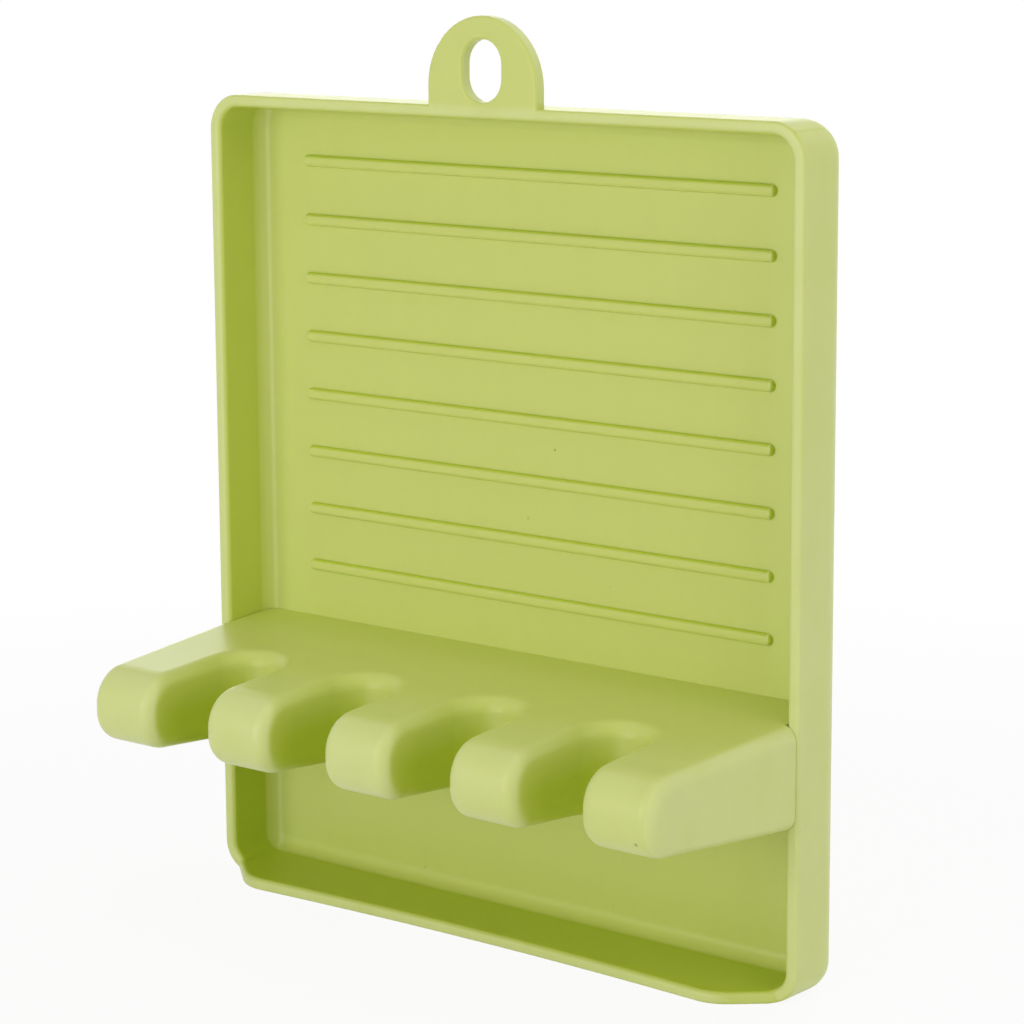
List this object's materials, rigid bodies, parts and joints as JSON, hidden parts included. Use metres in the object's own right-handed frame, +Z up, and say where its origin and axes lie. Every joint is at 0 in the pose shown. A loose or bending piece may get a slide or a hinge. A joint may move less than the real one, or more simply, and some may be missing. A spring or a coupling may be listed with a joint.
{
  "type": "pot lid rack",
  "caption": "Upright plastic pot lid and utensil rack: a shallow ribbed tray with a forked shelf across its front, a raised front lip below and a hanging tab on top.",
  "frame": {"origin": "on the surface it stands on, below the middle of the whole rack's box", "axes": "+X to the right seen from the front, +Y from the fingers to the back, +Z up"},
  "size_m": [0.165, 0.0628, 0.2037],
  "materials": {
    "green_plastic": "satin",
    "screw_steel": "zinc plated"
  },
  "bodies": {
    "root": {"tray": "green_plastic", "fork_shelf": "green_plastic", "shelf_screws": "screw_steel"}
  },
  "joints": []
}
